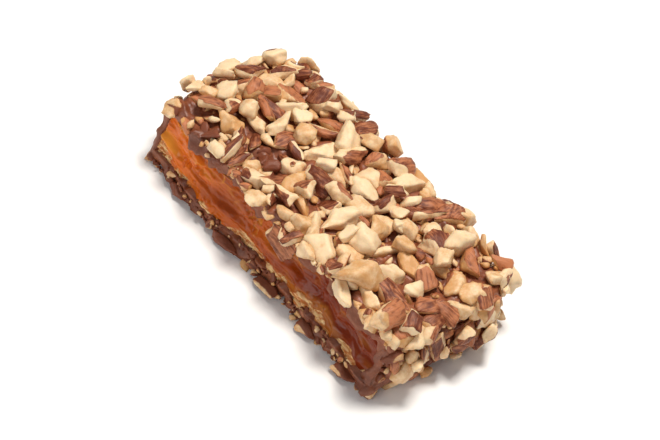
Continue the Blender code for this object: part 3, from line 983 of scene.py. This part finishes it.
def coatPoints():
    # stations run along x, and every station's outline has the same number of points, so the whole
    # is one grid; the outline shrinks to a pole at each end
    radius, endRadius = coat["radius"], coat["endRadius"]
    low, high = coatLow[0], coatHigh[0]
    lowZ, highZ, backY = coatLow[2], coatHigh[2], coatHigh[1]
    shrink = np.linspace(0.04, 1, coat["endSteps"][0])[:-1]
    bend = np.linspace(0, np.pi / 2, coat["endSteps"][1])
    quarter = np.linspace(0, np.pi / 2, coat["edgeSteps"])
    backwards = np.linspace(0, 1, coat["topSteps"])
    upRim = np.linspace(0, 1, coat["rimSteps"])
    insideDepth, insideHeight = (np.linspace(0, 1, steps)[1:] for steps in coat["insideSteps"])
    along = int((high - low - 2 * endRadius) / coat["cell"])
    straight = np.linspace(low + endRadius, high - endRadius, along)[1:-1]
    level = np.ones(len(shrink))
    x = np.concatenate([
        level * low,
        low + endRadius * (1 - np.sin(bend[::-1])),
        straight,
        high - endRadius * (1 - np.sin(bend)),
        level * high,
    ])
    inset = np.concatenate([
        level * endRadius,
        endRadius * (1 - np.cos(bend[::-1])),
        np.zeros(len(straight)),
        endRadius * (1 - np.cos(bend)),
        level * endRadius,
    ])
    scale = np.concatenate([shrink, np.ones(len(x) - 2 * len(shrink)), shrink[::-1]])
    room = ((x > slabLow[0]) & (x < slabHigh[0])).astype(float)  # 0 past the ends of the toffee
    cornerRadius = np.maximum(radius - inset, 0.2)
    columns = []

    def column(y, z):
        columns.append(np.stack(np.broadcast_arrays(x, y, z), -1))

    def breakAt(z):
        return front + fracture(x, z)

    for t in backwards:  # top
        start = breakAt(highZ - inset)
        column(start + t * (backY - radius - start), highZ - inset)
    for angle in quarter[1:]:
        column(backY - radius + cornerRadius * np.sin(angle),
               highZ - radius + cornerRadius * np.cos(angle))
    for z in np.linspace(highZ - radius, lowZ + radius, coat["wallSteps"])[1:-1]:
        column(backY - inset, z)
    for angle in quarter[:-1]:
        column(backY - radius + cornerRadius * np.cos(angle),
               lowZ + radius - cornerRadius * np.sin(angle))
    for t in backwards[::-1]:  # underside
        start = breakAt(lowZ + inset)
        column(start + t * (backY - radius - start), lowZ + inset)
    for t in upRim[1:]:  # lower rim up to the toffee
        z = lowZ + inset + t * (slabLow[2] - lowZ - inset)
        column(breakAt(z), z)
    for t in insideDepth:  # under the toffee, then behind it and over it
        start = breakAt(slabLow[2])
        column(start + room * t * (front + slabDepth - start), slabLow[2])
    for t in insideHeight:
        z = slabLow[2] + t * (slabHigh[2] - slabLow[2])
        start = breakAt(z)
        column(start + room * (front + slabDepth - start), z)
    for t in np.linspace(1, 0, coat["insideSteps"][0])[1:]:
        start = breakAt(slabHigh[2])
        column(start + room * t * (front + slabDepth - start), slabHigh[2])
    for t in upRim[1:-1]:  # upper rim
        z = slabHigh[2] + t * (highZ - inset - slabHigh[2])
        column(breakAt(z), z)
    grid = np.stack(columns, 1)
    middle = np.array([(front + backY) / 2, (lowZ + highZ) / 2])
    grid[..., 1:] = middle + (grid[..., 1:] - middle) * scale[:, None, None]
    poles = np.array([[low, *middle], [high, *middle]])
    return np.concatenate([poles[:1], grid.reshape(-1, 3), poles[1:]]), len(x), len(columns)


def overhang(square, points, atFront):
    # round the break the chocolate has run a little way over the toffee's edge: towards the middle
    # by run * wave, fading outwards and to the left end, and forwards by nearly as much
    across = square[:, [0, 2]]
    low, high = slabLow[[0, 2]], slabHigh[[0, 2]]
    outside = np.maximum(low - across, across - high).clip(0)
    fade = smoothStep(*coat["runFade"], np.linalg.norm(outside, axis=1))
    inward = (across <= low + 0.02) * 1.0 - (across >= high - 0.02) * 1.0
    inward[:, 0] *= inward[:, 1] == 0
    field = waveField(points * np.array([1, 0, 1]), coat["runPitch"], 63, 2)
    wave = 1.3 * smoothStep(-0.9, 1.1, field)
    run = coat["run"] * atFront * fade * wave
    run = run * smoothStep(*coat["runEnds"], points[:, 0] - coatLow[0])
    return np.stack([run * inward[:, 0], -0.9 * run, run * inward[:, 1]], 1)


def meniscus(square):
    # how far chocolate climbs beside the chips: the most, over the balls of the pile, of height *
    # exp(-(gap / reach)^2)
    climb = np.zeros(len(square))
    for ball, radius in zip(pile.balls, pile.radii):
        near = np.abs(square - ball).max(1) < radius + 2.5
        gap = np.maximum(np.linalg.norm(square[near] - ball, axis=1) - radius, 0)
        height = coat["meniscus"] * min(radius, 2) / 1.4
        height = height * np.exp(-(gap / coat["meniscusReach"]) ** 2)
        climb[near] = np.maximum(climb[near], height)
    return climb


def coatPiece():
    # the outline's points move out along the normals by lumps and a meniscus, and at the break
    # back and forth and over the toffee
    square, rings, around = coatPoints()
    points = cornered(square)
    quads, triangles = ballFaces(rings, around)
    piece = meshPiece("chocolate_coating", points, quads, triangles, chocolate)
    normals = readRows(piece.data.vertices, "normal")
    outside = smoothStep(-0.6, -0.15, awayFromCoat(square)[0])
    lumps = coat["lumps"] * waveField(points, coat["lumpSize"], 61, 4)
    moved = points + normals * ((lumps + meniscus(square)) * outside)[:, None]
    behindBreak = points[:, 1] - front - fracture(points[:, 0], points[:, 2])
    atFront = smoothStep(2.0, 0, behindBreak)
    moved[:, 1] += atFront * outside * (0.2 + 0.3 * waveField(points, 3.4, 62, 2))
    moved += overhang(square, points, atFront)
    moved[:, 2] = np.maximum(moved[:, 2], coat["overGround"])
    piece.data.vertices.foreach_set("co", (moved * mm).astype(np.float32).ravel())
    piece.data.update()
    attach(piece, "root")
    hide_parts("chocolate_coat")
    print(f"chocolate_coating: {triangleCount(quads, triangles)} triangles")


coatPiece()

# Toffee slab: a block whose front is the break

slab = {
    "steps": (400, 56),  # along the break, and up it
    "gap": 0.05,  # left between it and the coat
    "set": 0.32,  # how far the break is set back to make up for its flakes
    "rim": 1.3,  # height of the crumbly rim
    "dish": 0.4,
    "dishSize": 9,
    "flake": 0.14,
    "flakeSize": 3.6,
    "shard": 0.13,
    "shardCount": 110,
    "hackle": 0.06,
    "crumble": 0.2,
    "pit": 0.5,
}


def shards(flat, count, stretch, seed):
    # splits a face into flat shards: every point belongs to the nearest of some random middles,
    # and is raised by that shard's slope * (point - middle); returns the height, and a random
    # share for each shard
    rng = np.random.default_rng(seed)
    low, high = flat.min((0, 1)), flat.max((0, 1))
    middles = low + rng.uniform(size=(count, 3)) * (high - low)
    slopes = rng.normal(size=(count, 3)) / np.array(stretch)
    nearest = (((flat[:, :, None] - middles) / np.array(stretch)) ** 2).sum(-1).argmin(-1)
    height = (slopes[nearest] * (flat - middles[nearest])).sum(-1)
    return height, rng.uniform(size=count)[nearest]


def breakFace(gridX, gridZ):
    # the break: the fracture, less wide dishes and long flakes that meet in ridges, tilted shards,
    # fine hackle, and pits in the crumbly rim; returns y, how crumbly it is, and where ridges get a
    # painted glow
    flat = np.stack([gridX, np.zeros_like(gridX), gridZ], -1)
    rim = slab["rim"] + 0.3 * np.sin(gridX / 6.1 + 1.1)
    rim = slabLow[2] + rim + 0.6 * waveField(flat, 7, 71, 3)
    crumbly = smoothStep(0.6, -0.6, gridZ - rim)
    wobble = np.stack([waveField(flat, 2, 80 + i, 2) for i in range(3)], -1)
    dishes = 1 - np.abs(waveField(flat, slab["dishSize"], 72, 2, (1.3, 1, 1)))
    flakes = 1 - np.abs(waveField(flat, slab["flakeSize"], 76, 2, (4, 1, 1)))
    hackle = waveField(flat, 1.5, 75, 3, (4, 1, 1))
    pits = np.clip(waveField(flat, 0.9, 73, 3, (2, 1, 1)) - 0.15, 0, None)
    split, luck = shards(flat + 0.25 * wobble, slab["shardCount"], (2.5, 1, 1), 78)
    splitShare = smoothStep(-0.3, 0.5, waveField(flat, 11, 79, 2, (1.5, 1, 1))) * (1 - crumbly)
    y = front + fracture(gridX, gridZ) + slab["set"]
    y = y - slab["dish"] * dishes - slab["flake"] * flakes
    y += slab["shard"] * splitShare * np.clip(split, -2, 2)
    y += (slab["hackle"] + slab["crumble"] * crumbly) * hackle + slab["pit"] * crumbly * pits
    # painted glow: crests of the dishes and flakes, and the high edge of some shards, as if light
    # shone through them
    paintedGlow = np.clip(smoothStep(0.8, 1, dishes) + 0.8 * smoothStep(0.82, 1, flakes), 0, 1)
    paintedGlow *= (1 - crumbly) * smoothStep(-0.5, 0.7, waveField(flat, 12, 77, 2, (1.5, 1, 1)))
    paintedGlow = np.maximum(paintedGlow, (luck > 0.7) * splitShare * smoothStep(0.1, 1.5, split))
    return y, crumbly, paintedGlow


def slabPiece():
    # stations along x, and round each one the break in fine steps and the hidden sides in coarse
    # ones
    gap = slab["gap"]
    x = np.linspace(slabLow[0] + gap, slabHigh[0] - gap, slab["steps"][0])
    z = np.linspace(slabLow[2] + gap, slabHigh[2] - gap, slab["steps"][1])
    gridX, gridZ = np.meshgrid(x, z, indexing="ij")
    y, crumbly, paintedGlow = breakFace(gridX, gridZ)
    back = front + slabDepth - gap
    shares = (0.02, 0.3, 0.65, 1)
    hiddenSides = []
    for start, level, steps in ((y[:, -1], z[-1], shares), (y[:, 0], z[0], shares[::-1])):
        for t in steps:
            further = start + t * (back - start)
            hiddenSides.append(np.stack([x, further, np.full_like(x, level)], -1))
    grid = np.concatenate([np.stack([gridX, y, gridZ], -1), np.stack(hiddenSides, 1)], 1)
    ends = [np.array([x[i], (front + back) / 2, (z[0] + z[-1]) / 2]) for i in (0, -1)]
    points = cornered(np.concatenate([ends[:1], grid.reshape(-1, 3), ends[1:]]))
    rings, around = grid.shape[:2]
    quads, triangles = ballFaces(rings, around)
    hidden = np.zeros((rings, around - len(z)))
    attributes = {}
    # the crumbly rim, and the painted glow of the ridges, as attributes of the break
    for key, values in (("rough", crumbly), ("paintedGlow", paintedGlow)):
        attributes[key] = np.concatenate([[0], np.concatenate([values, hidden], 1).ravel(), [0]])
    piece = meshPiece("broken_toffee", points, quads, triangles, toffee, attributes)
    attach(piece, "root")
    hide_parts("toffee_slab")
    print(f"broken_toffee: {triangleCount(quads, triangles)} triangles")


slabPiece()

# Studio

studio = {
    "target": (0, 0, 6.5),
    "back": (0.4515, -0.5551, 0.6992),  # from the piece to the camera
    "up": (-0.6473, 0.3359, 0.6846),
    "distance": 420,
    "lens": 130,
    "lights": {  # place, power in watts, width, colour
        "key": ((-20, 90, 460), 2.2, 120, "#fffaf2"),
        "fill": ((60, -420, 200), 0.6, 300, "#ffffff"),
    },
    "floor": "#fbfbfb",
    "world": 0.24,
}


def addCamera():
    # it stands at target + back * distance and looks at the target
    back, up = Vector(studio["back"]).normalized(), Vector(studio["up"]).normalized()
    right = up.cross(back).normalized()
    up = back.cross(right)
    camera = bpy.data.objects.new("camera", bpy.data.cameras.new("camera"))
    turn = Matrix((right, up, back)).transposed().to_4x4()
    place = (Vector(studio["target"]) + back * studio["distance"]) * mm
    camera.matrix_world = Matrix.Translation(place) @ turn
    camera.data.lens = studio["lens"]
    camera.data.clip_start = 0.01
    bpy.context.collection.objects.link(camera)
    bpy.context.scene.camera = camera


def addLight(name, place, power, size, colour):
    # a square lamp that faces the piece
    light = bpy.data.lights.new(name, "AREA")
    light.energy = power
    light.size = size * mm
    light.color = hexColour(colour)[:3]
    lamp = bpy.data.objects.new(name, light)
    lamp.location = Vector(place) * mm
    lamp.rotation_euler = (-lamp.location).to_track_quat("-Z", "Y").to_euler()
    bpy.context.collection.objects.link(lamp)


def addFloor():
    # white paper, matt
    material, shader, tree, _ = newMaterial("whitePaper")
    fillSockets(tree, shader, {"Base Color": studio["floor"], "Roughness": 0.9})
    bpy.ops.mesh.primitive_plane_add(size=4, location=(0, 0, -0.02 * mm))
    floor = bpy.context.object
    floor.name = "floor"
    floor.data.materials.append(material)


def addWorld():
    # even white light from all sides
    world = bpy.data.worlds.new("studio")
    world.use_nodes = True
    background = world.node_tree.nodes["Background"]
    inputs = {"Color": "#ffffff", "Strength": studio["world"]}
    fillSockets(world.node_tree, background, inputs)
    bpy.context.scene.world = world
    bpy.context.scene.view_settings.view_transform = "Standard"


addCamera()
for name, settings in studio["lights"].items():
    addLight(name, *settings)
addFloor()
addWorld()
print("studio ready")
